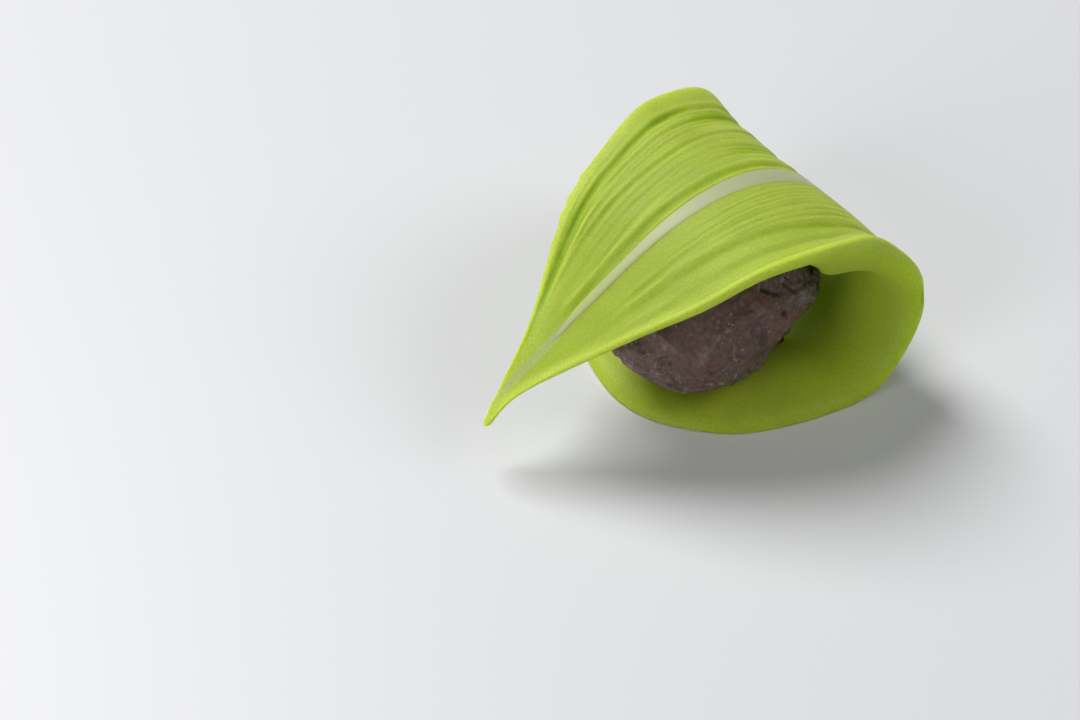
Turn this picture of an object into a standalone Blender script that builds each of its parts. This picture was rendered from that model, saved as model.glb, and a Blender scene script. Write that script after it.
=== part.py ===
"""Nerikiri: a leaf of green bean dough, folded over an oval lump of dark bean paste.

The leaf is one sheet. It lies flat as a round base, turns up and back at the fold, and covers the lump as a
pointed blade that hangs out past the base. A white vein is set into its outer face, and comb lines run beside it.

Frame: the origin is the middle of the round base, on the surface that it rests on. The tip of the leaf points
to -X, the fold is at +X, the open side faces -Y and +Z is up.
"""

import math

import bmesh
import bpy
from mathutils import Matrix, Vector, noise

MM = 0.001

# The sheet of dough
SHEET = 2.4 * MM
BASE_RADIUS = 24.0 * MM  # across the leaf
ROUND_END = 22.0 * MM  # how far its round end reaches along the leaf
VEIN_LINE = -2.6 * MM  # y of the line from the round end to the tip, along which the vein lies
# The outer face along that line, from the round end to the tip, as runs of (length in mm, turn in degrees):
# base, lower fold, upper fold, shoulder, crest, blade, drooping tip
RUNS = ((26.0, 0.0), (23.5, 101.0), (13.5, 45.0), (16.0, 38.5), (13.0, 24.0), (27.5, 9.0), (7.5, 16.0))
LENGTH = sum(length for length, _ in RUNS) * MM
# (distance along the leaf, half width on the open side, half width on the far side) in mm
HALF_WIDTHS = (
    (22.0, 21.4, 26.6),
    (38.0, 22.3, 26.6),
    (50.0, 21.0, 27.2),
    (62.0, 18.8, 26.4),
    (73.0, 19.3, 24.2),
    (83.0, 17.9, 20.8),
    (93.0, 15.2, 17.0),
    (103.0, 10.9, 10.8),
    (113.0, 5.5, 4.4),
    (121.0, 2.1, 1.5),
    (127.0, 0.6, 0.6),
)
# (distance, how far the open side's margin stands out from the path, the same for the far side) in mm
MARGIN_LIFTS = (
    (31.0, 0.0, 0.0),
    (41.0, -0.9, 0.0),
    (51.0, 0.8, 0.9),
    (60.0, 1.1, 1.3),
    (70.0, 0.3, 0.4),
    (83.0, 0.1, -0.3),
    (103.0, 0.9, 0.6),
    (127.0, 0.1, 0.1),
)
# The blade gets slimmer towards the tip and towards its margins,
SLIMMING_START = 89.0 * MM
TIP_SHARE = 0.45
MARGIN_SHARE = 0.7
MARGIN_START = 0.8
# and its margins wave a little
WAVE_HEIGHT = 0.25 * MM
WAVE_LENGTH = 19.0 * MM

# Comb lines: furrows as (share of the way from the vein to the margin, depth in mm)
FAR_FURROWS = ((0.06, 0.50), (0.22, 0.22), (0.37, 0.25), (0.51, 0.40), (0.66, 0.30), (0.80, 0.60))
OPEN_FURROWS = ((0.08, 0.25), (0.24, 0.22), (0.40, 0.25), (0.56, 0.40), (0.74, 0.30), (0.90, 0.25))
PRESSED_FLAT_TO = 29.0 * MM
RELIEF_FULL_FROM = 37.0 * MM
RELIEF_FULL_WIDTH = 9.0 * MM

# The white vein and the channel that it lies in
VEIN_START = 33.0 * MM
VEIN_END = 119.5 * MM
VEIN_THICK = 0.9 * MM
VEIN_PROUD = 0.15 * MM
VEIN_END_HALF = 0.40 * MM
VEIN_WIDENING = 0.030
GAP = 0.3 * MM
CHANNEL_START = VEIN_START - GAP
CHANNEL_END = VEIN_END + GAP
CHANNEL_DEPTH = VEIN_THICK + GAP - VEIN_PROUD
CHANNEL_WALL = 0.15 * MM  # how far the side walls lean
CHANNEL_RAMP = 0.8 * MM  # how long its ends slope

# The mesh of the leaf
ROUND_END_ROWS = 7
ROUND_END_ANGLE = math.radians(50)
ROW_STEP = 2.9 * MM
ROUNDING = (0.0, 0.4, 1.0)  # rows and columns at the rim, in half thicknesses from it
RIM_SHARE = 0.3  # of the thickness is left at the rim itself

# The lump of bean paste
LUMP_HALF_SIZE = Vector((16.5, 11.7, 12.4)) * MM
LUMP_AT = Vector((-7.7, -6.3)) * MM
LUMP_TURN = math.radians(-15)
LUMP_BED = 1.0 * MM
LUMP_NARROWING = 0.5  # towards the fold
LUMP_LOWERING = 0.12  # away from the fold
CRAG_DEPTH = 1.1 * MM
CRAG_SIZE = 8.0 * MM
CRAG_SEED = Vector((3.7, 1.9, 8.2))
LUMP_SUBDIVISIONS = 4

COLLECTION = "nerikiri"


def clear_scene():
    for obj in list(bpy.data.objects):
        bpy.data.objects.remove(obj, do_unlink=True)


def make_collection():
    collection = bpy.data.collections.new(COLLECTION)
    bpy.context.scene.collection.children.link(collection)
    return collection


def food_material(name, colour, roughness):
    material = bpy.data.materials.new(name)
    material.use_nodes = True
    shader = material.node_tree.nodes["Principled BSDF"]
    shader.inputs["Base Color"].default_value = (*colour, 1.0)
    shader.inputs["Roughness"].default_value = roughness
    shader.inputs["Metallic"].default_value = 0.0
    material.diffuse_color = (*colour, 1.0)
    return material


def smoothstep(low, high, value):
    share = min(max((value - low) / (high - low), 0.0), 1.0)
    return share * share * (3.0 - 2.0 * share)


def along(stations, column, distance):
    """One column of a table in millimetres, at a distance in metres, on a smooth curve through its rows."""
    last = len(stations) - 1
    at = min(max(distance / MM, stations[0][0]), stations[last][0])
    i = max(k for k in range(last) if stations[k][0] <= at)

    def slope(k):
        before = stations[max(k - 1, 0)]
        after = stations[min(k + 1, last)]
        return (after[column] - before[column]) / (after[0] - before[0])

    start = stations[i]
    end = stations[i + 1]
    step = end[0] - start[0]
    t = (at - start[0]) / step
    value = (
        start[column] * (1 + 2 * t) * (1 - t) ** 2
        + end[column] * t * t * (3 - 2 * t)
        + step * (slope(i) * t * (1 - t) ** 2 - slope(i + 1) * t * t * (1 - t))
    )
    return value * MM


def on_path(distance):
    """(x, z, heading) of the outer face at this distance along the vein's line."""
    x = -ROUND_END
    z = 0.0
    heading = 0.0
    left = distance
    for length, turn in RUNS:
        run = min(left, length * MM)
        bend = math.radians(turn) / (length * MM)
        if bend:
            x += (math.sin(heading + bend * run) - math.sin(heading)) / bend
            z += (math.cos(heading) - math.cos(heading + bend * run)) / bend
        else:
            x += run
        heading += bend * run
        left -= run
        if left <= 0:
            break
    return x, z, heading


def round_end_turn(distance):
    """Where the rim of the round end is at this distance, as an angle from -X at the middle of the base."""
    return ROUND_END_ANGLE + (math.pi / 2 - ROUND_END_ANGLE) * distance / ROUND_END


def half_width(distance, side):
    """From the vein's line to the margin, on the open side (-1) or the far side (1)."""
    if distance < ROUND_END:
        return BASE_RADIUS * math.sin(round_end_turn(distance)) - side * VEIN_LINE
    return along(HALF_WIDTHS, 1 if side < 0 else 2, distance)


def thickness(distance, side, y):
    """The sheet's thickness, before its rim is rounded and its outer face carved."""
    share = abs(y - VEIN_LINE) / half_width(distance, side)
    slim = 1 - (1 - TIP_SHARE) * smoothstep(SLIMMING_START, LENGTH, distance)
    thinned = (1 - MARGIN_SHARE) * smoothstep(MARGIN_START, 1.0, share) * relief(distance)
    return SHEET * slim * (1 - thinned)


def relief(distance):
    """0 where the base is pressed flat, and 1 on the rest of the leaf."""
    return smoothstep(PRESSED_FLAT_TO, RELIEF_FULL_FROM, distance)


def vein_half(distance):
    width = half_width(distance, -1) + half_width(distance, 1)
    return VEIN_END_HALF + VEIN_WIDENING * width


def channel_half(distance):
    narrowest = min(half_width(distance, -1), half_width(distance, 1))
    return min(vein_half(distance) + GAP, 0.4 * narrowest)


def channel_depth(distance):
    opens = smoothstep(CHANNEL_START - CHANNEL_RAMP, CHANNEL_START, distance)
    closes = smoothstep(CHANNEL_END, CHANNEL_END + CHANNEL_RAMP, distance)
    return CHANNEL_DEPTH * opens * (1 - closes)


def furrow_depth(distance, depth):
    """Furrows get shallow where the blade is narrow, because they run together there."""
    width = half_width(distance, -1) + half_width(distance, 1)
    return depth * MM * relief(distance) * min(1.0, width / 2 / RELIEF_FULL_WIDTH)


def rim_size(distance, side):
    """The width of the rounded rim."""
    half = half_width(distance, side)
    at_margin = thickness(distance, side, VEIN_LINE + side * half)
    return min(at_margin / 2, 0.3 * half)


def rounded(from_rim, size):
    """The share of the thickness at this distance from the rim, for a rim rounded over this size."""
    inward = min(max(from_rim / size, 0.0), 1.0)
    return max(RIM_SHARE, math.sqrt(1 - (1 - inward) ** 2))


# A column of the leaf's mesh is (side, zone, place in the zone, furrow depth in mm)
def one_side(side, furrows):
    columns = [(side, "channel", 0.0, 0.0), (side, "wall", 0.0, 0.0)]
    for i, (share, depth) in enumerate(furrows):
        after = furrows[i + 1][0] if i + 1 < len(furrows) else 1.0
        columns.append((side, "blade", share, depth))
        columns.append((side, "blade", (share + after) / 2, 0.0))
    columns += [(side, "rim", place, 0.0) for place in reversed(ROUNDING)]
    return columns


def column_y(distance, column):
    side, zone, place, _ = column
    half = half_width(distance, side)
    channel = channel_half(distance)
    wall = min(CHANNEL_WALL, 0.05 * half)
    rim = rim_size(distance, side)
    if zone == "channel":
        out = channel
    elif zone == "wall":
        out = channel + wall
    elif zone == "blade":
        out = channel + wall + place * (half - rim - channel - wall)
    else:
        out = half - rim * place
    return VEIN_LINE + side * out


def leaf_point(distance, column, outer):
    """The point of the outer or the inner face in this row and column."""
    side, zone, _, furrow = column
    y = column_y(distance, column)
    x, z, heading = on_path(distance)
    half = half_width(distance, side)
    from_margin = half - abs(y - VEIN_LINE)
    sheet = thickness(distance, side, y)
    left = min(
        rounded(from_margin, rim_size(distance, side)),
        rounded(distance, SHEET / 2),
        rounded(LENGTH - distance, SHEET * TIP_SHARE / 2),
    )
    share = 1 - from_margin / half
    wave = WAVE_HEIGHT * math.sin(2 * math.pi * distance / WAVE_LENGTH + side) * relief(distance)
    lift = along(MARGIN_LIFTS, 1 if side < 0 else 2, distance) + wave
    out = lift * share**2 - sheet / 2
    if not outer:
        out -= sheet / 2 * left
    else:
        carved = channel_depth(distance) if zone == "channel" else furrow_depth(distance, furrow)
        out += sheet / 2 * left - carved
    if distance < ROUND_END:
        # Rows of the round end bow out to follow its curve
        turned = round_end_turn(distance)
        bow = (1 - distance / ROUND_END - math.cos(turned)) / (1 - math.cos(turned))
        edge = math.cos(turned)
        arc = math.sqrt(max(1 - (y / BASE_RADIUS) ** 2, 0.0))
        x = -ROUND_END * (edge + (arc - edge) * bow)
    return Vector((x + out * math.sin(heading), y, z - out * math.cos(heading)))


def spaced(start, end):
    """Distances about ROW_STEP apart, from the start up to the end, which the next stretch begins with."""
    steps = max(round((end - start) / ROW_STEP), 1)
    return [start + (end - start) * i / steps for i in range(steps)]


def leaf_rows():
    """Distances along the leaf at which the mesh has a row: at both rims, and at the channel's ends."""
    tip_rim = LENGTH - SHEET * TIP_SHARE / 2
    stops = (ROUND_END, CHANNEL_START - CHANNEL_RAMP, CHANNEL_START)
    stops += (CHANNEL_END, CHANNEL_END + CHANNEL_RAMP, tip_rim)
    rows = [SHEET / 2 * place for place in ROUNDING]
    rows += [ROUND_END * i / ROUND_END_ROWS for i in range(1, ROUND_END_ROWS)]
    for start, end in zip(stops, stops[1:]):
        rows += spaced(start, end)
    rows += [LENGTH - SHEET * TIP_SHARE / 2 * place for place in reversed(ROUNDING)]
    return rows


def add_face(bm, rows, columns, place, outer):
    """A grid of rows by columns with each point put in place, split into triangles."""
    made = bmesh.ops.create_grid(bm, x_segments=len(rows) - 1, y_segments=len(columns) - 1, size=0.5)
    faces = list({face for vert in made["verts"] for face in vert.link_faces})
    for vert in made["verts"]:
        row = rows[round((vert.co.x + 0.5) * (len(rows) - 1))]
        column = columns[round((vert.co.y + 0.5) * (len(columns) - 1))]
        vert.co = place(row, column, outer)
    split = bmesh.ops.triangulate(bm, faces=faces, quad_method="FIXED")
    if outer:
        bmesh.ops.reverse_faces(bm, faces=split["faces"])
    return {edge for face in split["faces"] for edge in face.edges if edge.is_boundary}


def two_faced_object(name, rows, columns, place, material, collection):
    """A closed sheet: an outer and an inner face with the same triangles, bridged along their rims."""
    bm = bmesh.new()
    rims = add_face(bm, rows, columns, place, True) | add_face(bm, rows, columns, place, False)
    bmesh.ops.bridge_loops(bm, edges=list(rims))
    bmesh.ops.recalc_face_normals(bm, faces=bm.faces)
    mesh = bpy.data.meshes.new(name)
    bm.to_mesh(mesh)
    bm.free()
    mesh.materials.append(material)
    mesh.shade_smooth()
    obj = bpy.data.objects.new(name, mesh)
    collection.objects.link(obj)
    return obj


def make_leaf(collection):
    columns = list(reversed(one_side(-1, OPEN_FURROWS))) + one_side(1, FAR_FURROWS)
    green = food_material("green_dough", (0.36, 0.50, 0.05), 0.55)
    return two_faced_object("leaf", leaf_rows(), columns, leaf_point, green, collection)


def vein_point(distance, across, outer):
    """The vein's floor lies GAP above the floor of the channel, and its top is a low arch."""
    x, z, heading = on_path(distance)
    out = VEIN_PROUD * (1 - 2 * across**2) if outer else GAP - CHANNEL_DEPTH
    y = VEIN_LINE + across * vein_half(distance)
    return Vector((x + out * math.sin(heading), y, z - out * math.cos(heading)))


def make_vein(collection):
    rows = spaced(VEIN_START, VEIN_END) + [VEIN_END]
    columns = (-1.0, -0.5, 0.0, 0.5, 1.0)
    white = food_material("white_dough", (0.62, 0.66, 0.42), 0.5)
    return two_faced_object("vein", rows, columns, vein_point, white, collection)


def lump_point(out):
    """The lump's surface in this direction: an egg with shallow crags."""
    crag = 0.5 - 2.0 * abs(noise.noise(out * LUMP_HALF_SIZE.x / CRAG_SIZE + CRAG_SEED))
    x, y, z = (out[i] * (LUMP_HALF_SIZE[i] + CRAG_DEPTH * crag) for i in range(3))
    return Vector((x, y * (1 - LUMP_NARROWING * out.x), z * (1 + LUMP_LOWERING * out.x)))


def make_lump(collection):
    """It sits on the base with a flat patch, GAP above the sheet."""
    bm = bmesh.new()
    bmesh.ops.create_icosphere(bm, subdivisions=LUMP_SUBDIVISIONS, radius=1.0)
    floor = SHEET + GAP
    middle = Vector((LUMP_AT.x, LUMP_AT.y, floor + LUMP_HALF_SIZE.z - LUMP_BED))
    turn = Matrix.Rotation(LUMP_TURN, 3, "Z")
    for vert in bm.verts:
        place = middle + turn @ lump_point(vert.co.normalized())
        vert.co = (place.x, place.y, max(place.z, floor))
    mesh = bpy.data.meshes.new("bean_paste")
    bm.to_mesh(mesh)
    bm.free()
    mesh.materials.append(food_material("dark_bean_paste", (0.085, 0.055, 0.05), 0.5))
    mesh.shade_smooth()
    lump = bpy.data.objects.new("bean_paste", mesh)
    collection.objects.link(lump)
    return lump


def main():
    clear_scene()
    collection = make_collection()
    make_leaf(collection)
    make_vein(collection)
    make_lump(collection)


main()
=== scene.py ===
# %% [markdown]
# # A nerikiri leaf
#
# Nerikiri is a sweet of steamed bean dough. This one is a single leaf: a round of green dough about 2.4 mm
# thick is cut with a long point, combed, given a white vein, and folded over a lump of dark bean paste. The
# script works in much the same order, because cutting and combing are easy on the flat sheet and hard on the
# folded one.

# %% Load the fixed frame
import math

import bmesh
import bpy
import numpy as np
from mathutils import Euler, Matrix, Vector, noise


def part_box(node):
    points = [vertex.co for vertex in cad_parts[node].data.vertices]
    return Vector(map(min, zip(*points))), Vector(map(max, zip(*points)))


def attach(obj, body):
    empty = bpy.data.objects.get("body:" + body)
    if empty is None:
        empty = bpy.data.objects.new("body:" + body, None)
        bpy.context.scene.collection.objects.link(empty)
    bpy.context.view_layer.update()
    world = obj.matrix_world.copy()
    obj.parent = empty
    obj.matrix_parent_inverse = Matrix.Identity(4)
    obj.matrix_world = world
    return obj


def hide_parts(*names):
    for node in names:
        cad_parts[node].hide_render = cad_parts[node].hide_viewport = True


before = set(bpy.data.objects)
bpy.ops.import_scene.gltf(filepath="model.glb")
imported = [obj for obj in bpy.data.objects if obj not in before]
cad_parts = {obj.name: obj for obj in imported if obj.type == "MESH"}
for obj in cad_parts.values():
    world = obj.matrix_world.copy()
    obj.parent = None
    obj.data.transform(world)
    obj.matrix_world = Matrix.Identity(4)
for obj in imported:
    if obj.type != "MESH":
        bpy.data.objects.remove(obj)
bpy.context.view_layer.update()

MM = 0.001


def new_object(name, data):
    obj = bpy.data.objects.new(name, data)
    bpy.context.scene.collection.objects.link(obj)
    return obj


# %% [markdown]
# ## Writing node trees like formulas
#
# Both Geometry Nodes and materials are node trees. A few small helpers keep them readable: one adds a node
# and plugs values into its sockets, two do sums, and the rest are short names for common nodes. A value may
# be a plain number or the output of another node.

# %% Helpers for node trees
def plug(tree, value, socket):
    if isinstance(value, bpy.types.NodeSocket):
        tree.links.new(value, socket)
    else:
        socket.default_value = value


def node(tree, kind, values=None, **settings):
    """A node with its settings, and with values plugged into its inputs by name or by number."""
    made = tree.nodes.new(kind)
    for name, setting in settings.items():
        setattr(made, name, setting)
    for name, value in (values or {}).items():
        plug(tree, value, made.inputs[name])
    return made


def calc(tree, operation, *values):
    """A sum with numbers: calc(tree, "ADD", a, b)."""
    return node(tree, "ShaderNodeMath", dict(enumerate(values)), operation=operation).outputs[0]


def product(tree, *values):
    result = values[0]
    for value in values[1:]:
        result = calc(tree, "MULTIPLY", result, value)
    return result


def vector(tree, operation, first, second):
    """A sum with vectors. DOT_PRODUCT and DISTANCE give a number."""
    values = {0: first, ("Scale" if operation == "SCALE" else 1): second}
    made = node(tree, "ShaderNodeVectorMath", values, operation=operation)
    return made.outputs["Value" if operation in ("DOT_PRODUCT", "DISTANCE") else "Vector"]


def step(tree, value, low, high, start=0.0, end=1.0):
    """From start to end on a smooth curve while the value goes from low to high."""
    values = {"Value": value, "From Min": low, "From Max": high, "To Min": start, "To Max": end}
    return node(tree, "ShaderNodeMapRange", values, interpolation_type="SMOOTHSTEP").outputs["Result"]


def noise_of(tree, place, size, detail=2.0, roughness=0.5):
    """Noise between 0 and 1 with features of about this size."""
    scaled = vector(tree, "SCALE", place, 1 / size)
    values = {"Vector": scaled, "Scale": 1.0, "Detail": detail, "Roughness": roughness}
    return node(tree, "ShaderNodeTexNoise", values).outputs[0]


def varied(tree, noise, low, high):
    """Noise stretched to go from low to high, since most of it lies between 0.3 and 0.7."""
    return step(tree, noise, 0.3, 0.7, low, high)


# %% Helpers for Geometry Nodes
def position(tree):
    return node(tree, "GeometryNodeInputPosition").outputs[0]


def separate(tree, place):
    """The X, Y and Z of a vector."""
    return node(tree, "ShaderNodeSeparateXYZ", {0: place}).outputs


def combine(tree, **parts):
    """A vector of the X, Y and Z that are given, and 0 for the others."""
    return node(tree, "ShaderNodeCombineXYZ", parts).outputs[0]


def move(tree, geometry, **where):
    """Moves every point by an Offset or to a Position."""
    return node(tree, "GeometryNodeSetPosition", {"Geometry": geometry, **where}).outputs[0]


def store(tree, geometry, label, value):
    """Keeps a value on every point under this name, for the materials to read."""
    values = {"Geometry": geometry, "Name": label, "Value": value}
    kept = node(tree, "GeometryNodeStoreNamedAttribute", values, data_type="FLOAT", domain="POINT")
    return kept.outputs[0]


def new_tree(name, inputs, outputs):
    """A Geometry Nodes tree. Inputs and outputs are names with a socket kind, and maybe a start value."""
    tree = bpy.data.node_groups.new(name, "GeometryNodeTree")
    for in_out, sockets in (("INPUT", inputs), ("OUTPUT", outputs)):
        for label, (kind, *start) in sockets.items():
            socket = tree.interface.new_socket(label, in_out=in_out, socket_type="NodeSocket" + kind)
            if start:
                socket.default_value = start[0]
    return tree, tree.nodes.new("NodeGroupInput").outputs, tree.nodes.new("NodeGroupOutput").inputs


def run_tree(obj, tree, values):
    """Runs a tree on an object, and keeps the result as its plain mesh."""
    modifier = obj.modifiers.new(tree.name, "NODES")
    modifier.node_group = tree
    for item in tree.interface.items_tree:
        if item.in_out == "INPUT" and item.name in values:
            modifier[item.identifier] = values[item.name]
    graph = bpy.context.evaluated_depsgraph_get()
    result = bpy.data.meshes.new_from_object(obj.evaluated_get(graph))
    obj.modifiers.remove(modifier)
    obj.data = result
    result.name = obj.name
    print(f"{obj.name}: {len(result.polygons)} faces after {tree.name}")


# %% [markdown]
# ## The path of the fold
#
# Seen from the side, the leaf is one line: flat under the lump, round the fold, over the top and down to the
# tip. It is given as runs, each with a length and an even turn. Distances are measured along the outer face
# from the round end, so they stay true when the sheet is bent.

# %% Runs of the fold, from the round end to the tip
ROUND_END = 22.0 * MM  # how far the round end reaches along the leaf
BASE_RADIUS = 24.0 * MM  # and across it
LEAD = 3.0 * MM  # how much of the spine comes before the leaf
VEIN_LINE = -2.6 * MM  # y of the line along which the vein lies
# (length in mm, turn in degrees)
RUNS = ((26.0, 0.0), (23.5, 101.0), (13.5, 45.0), (16.0, 38.5), (13.0, 24.0), (27.5, 9.0), (7.5, 16.0))
LENGTH = sum(length for length, _ in RUNS) * MM


def on_path(distance):
    """x and z of the outer face at this distance, on the vein's line."""
    x, z, heading, left = -ROUND_END, 0.0, 0.0, distance
    for length, turn in RUNS:
        run = min(left, length * MM)
        bend = math.radians(turn) / (length * MM)
        if bend:
            x += (math.sin(heading + bend * run) - math.sin(heading)) / bend
            z += (math.cos(heading) - math.cos(heading + bend * run)) / bend
        else:
            x += run
        heading += bend * run
        left -= run
        if left <= 0:
            break
    return x, z


def make_spine(spacing):
    """The path as a curve object, which the fold samples by length."""
    count = math.ceil((LENGTH + LEAD) / spacing)
    curve = bpy.data.curves.new("spine", "CURVE")
    curve.dimensions = "3D"
    spline = curve.splines.new("POLY")
    spline.points.add(count)
    for i, point in enumerate(spline.points):
        x, z = on_path((LENGTH + LEAD) * i / count - LEAD)
        point.co = (x, 0.0, z, 1.0)
    return new_object("spine", curve)


spine = make_spine(spacing=0.25 * MM)
print(f"the leaf is {LENGTH / MM:.0f} mm long when it lies flat")

# %% [markdown]
# ## The cut of the leaf
#
# The cut gives a round end, two long curved sides and a point. The sides differ, as on a hand cut leaf, so
# each station has a half width for the open side and one for the far side. Between stations the edge runs on
# a smooth curve. Two things keep it from looking stamped: a few small nicks, where the far side was torn near
# the point, and a round end that isn't quite even.

# %% Widths, lifted margins and nicks
OPEN, FAR = -1, 1
# Stations are (distance, open side, far side), all in mm
HALF_WIDTHS = (
    (22.0, 21.4, 26.6),
    (38.0, 22.3, 26.6),
    (50.0, 21.0, 27.2),
    (62.0, 18.8, 26.4),
    (73.0, 19.3, 24.2),
    (83.0, 17.9, 20.8),
    (93.0, 15.2, 17.0),
    (103.0, 10.9, 10.8),
    (113.0, 5.4, 4.3),
    (121.0, 1.7, 1.6),
    (127.0, 0.35, 0.5),
)
MARGIN_LIFTS = (
    (31.0, 0.0, 0.0),
    (41.0, -1.2, 0.0),
    (51.0, -0.4, 1.2),
    (60.0, -1.3, 1.7),
    (70.0, -2.3, 0.6),
    (83.0, -1.4, -0.3),
    (103.0, 0.3, 0.6),
    (127.0, 0.1, 0.1),
)
VEIN_WIDTHS = (
    (33.0, 1.2, 1.2),
    (42.0, 2.0, 1.7),
    (60.0, 2.5, 1.9),
    (70.0, 2.2, 1.7),
    (80.0, 1.6, 1.4),
    (90.0, 1.15, 1.2),
    (100.0, 0.90, 1.0),
    (110.0, 0.75, 0.85),
    (119.0, 0.70, 0.70),
    (127.0, 0.4, 0.4),
)
WAVE_HEIGHT = 0.25 * MM
WAVE_LENGTH = 19.0 * MM
# (distance, width, how far it stands out), all in mm
NICKS = (
    (90.6, 0.5, 0.25),
    (92.4, 0.9, -0.10),
    (94.6, 0.7, 0.22),
    (96.0, 0.4, -0.12),
    (97.3, 0.5, 0.22),
    (99.2, 0.7, -0.14),
    (101.2, 0.8, 0.15),
    (123.8, 0.8, 0.25),
    (125.2, 0.5, -0.10),
)
TORN_FROM = 0.90  # of the far half width: only the margin is torn
PRESSED_FLAT_TO = 29.0 * MM
RELIEF_FULL_FROM = 37.0 * MM
ROUND_END_ANGLE = math.radians(50)
# (angle and width in degrees, share further out), round the middle of the base
UNEVEN = ((-14.0, 20.0, 0.055), (-75.0, 18.0, -0.040))


def smoothstep(low, high, value):
    share = min(max((value - low) / (high - low), 0.0), 1.0)
    return share * share * (3.0 - 2.0 * share)


def along(stations, side, distance):
    """One side's value at this distance, on a smooth curve through the stations."""
    column = 1 if side == OPEN else 2
    last = len(stations) - 1
    at = min(max(distance / MM, stations[0][0]), stations[last][0])
    i = max(k for k in range(last) if stations[k][0] <= at)

    def slope(k):
        before, after = stations[max(k - 1, 0)], stations[min(k + 1, last)]
        return (after[column] - before[column]) / (after[0] - before[0])

    start, end = stations[i], stations[i + 1]
    length = end[0] - start[0]
    t = (at - start[0]) / length
    value = start[column] * (1 + 2 * t) * (1 - t) ** 2 + end[column] * t * t * (3 - 2 * t)
    return (value + length * (slope(i) * t * (1 - t) ** 2 - slope(i + 1) * t * t * (1 - t))) * MM


def round_end_turn(distance):
    """Where the rim of the round end is at this distance, as an angle at the middle of the base."""
    return ROUND_END_ANGLE + (math.pi / 2 - ROUND_END_ANGLE) * distance / ROUND_END


def half_width(distance, side):
    if distance < ROUND_END:
        return BASE_RADIUS * math.sin(round_end_turn(distance)) - side * VEIN_LINE
    return along(HALF_WIDTHS, side, distance)


def nicks(distance):
    """How far the torn far margin stands out here."""
    return sum(out * MM * math.exp(-(((distance / MM - at) / wide) ** 2)) for at, wide, out in NICKS)


def uneven(x, y):
    """How much further out than a true ellipse the round end reaches in this direction."""
    turned = math.degrees(math.atan2(y / BASE_RADIUS, 1 - x / ROUND_END))
    return 1 + sum(out * math.exp(-(((turned - at) / wide) ** 2)) for at, wide, out in UNEVEN)


def relief(distance):
    """0 where the base is pressed flat, 1 on the rest of the leaf."""
    return smoothstep(PRESSED_FLAT_TO, RELIEF_FULL_FROM, distance)


# %% [markdown]
# ## The flat sheet
#
# The sheet is built as rows of closed loops: across the combed face, and back along the smooth face. Its edge
# is thinned round the base, blunt over the fold, and flared up like a lip along the open margin. So the two
# faces end in quarter domes of different width that meet on one line, the nose, and a few tables say how
# these change along each side. Behind the lip the fold squeezed the dough together, so the sheet also swells
# there on its smooth side. The combed face lies down, so that folding the sheet up needs no mirroring. Each
# point stores where it is on the leaf, because the comb and the dough's colour follow the leaf and not space.

# %% The rims
# Stations again: the height of the nose, the width of each face's rounding, and how far the margin flares
NOSES = (
    (22.0, 0.5, 0.5),
    (48.0, 1.1, 1.1),
    (64.0, 1.9, 0.9),
    (74.0, 1.4, 0.9),
    (86.0, 1.2, 0.9),
    (104.0, 0.7, 0.6),
    (127.0, 0.3, 0.3),
)
COMBED_ROUNDINGS = (
    (22.0, 1.2, 1.2),
    (48.0, 1.1, 1.4),
    (64.0, 2.1, 1.4),
    (74.0, 1.4, 1.4),
    (86.0, 1.0, 1.4),
    (104.0, 0.8, 0.8),
    (127.0, 0.3, 0.3),
)
SMOOTH_ROUNDINGS = (
    (22.0, 4.2, 4.2),
    (40.0, 4.0, 4.0),
    (52.0, 2.0, 3.0),
    (62.0, 1.6, 2.5),
    (72.0, 2.2, 2.5),
    (80.0, 1.1, 2.5),
    (94.0, 2.4, 3.0),
    (112.0, 2.0, 2.0),
    (127.0, 0.5, 0.5),
)
FLARES = (
    (38.0, 0.2, 0.0),
    (48.0, 1.1, 0.0),
    (54.0, 1.9, 0.0),
    (61.0, 2.2, 0.0),
    (68.0, 3.3, 0.0),
    (74.0, 3.4, 0.0),
    (80.0, 2.4, 0.0),
    (86.0, 1.9, 0.0),
    (95.0, 1.0, 0.0),
    (108.0, 0.5, 0.0),
    (127.0, 0.0, 0.0),
)
FLARE_WIDTH = 5.0 * MM
SWELLINGS = (
    (46.0, 0.0, 0.0),
    (54.0, 1.4, 0.0),
    (58.0, 3.2, 0.0),
    (62.0, 5.0, 0.0),
    (66.0, 5.3, 0.0),
    (70.0, 3.6, 0.0),
    (74.0, 1.9, 0.0),
    (78.0, 0.7, 0.0),
    (84.0, 0.1, 0.0),
    (90.0, 0.0, 0.0),
    (127.0, 0.0, 0.0),
)
# In from the edge: where the swelling is highest and where it ends, and the share of it right at the edge
SWELLING_PEAK = 5.0 * MM
SWELLING_END = 15.0 * MM
SWELLING_AT_EDGE = 0.3


def dome(share):
    """Height of a quarter circle at this share of its width, and 1 beyond it."""
    return math.sqrt(max(1 - (1 - min(max(share, 0.0), 1.0)) ** 2, 0.0))


def flare(distance, side, from_edge):
    """How far the margin turns up at this distance from its edge."""
    return along(FLARES, side, distance) * max(1 - from_edge / FLARE_WIDTH, 0.0) ** 2


def swelling(distance, side, from_edge):
    """How much thicker the dough is here, on its smooth side."""
    rising = SWELLING_AT_EDGE + (1 - SWELLING_AT_EDGE) * smoothstep(0.0, SWELLING_PEAK, from_edge)
    falling = 1 - smoothstep(SWELLING_PEAK, SWELLING_END, from_edge)
    return along(SWELLINGS, side, distance) * rising * falling


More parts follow.
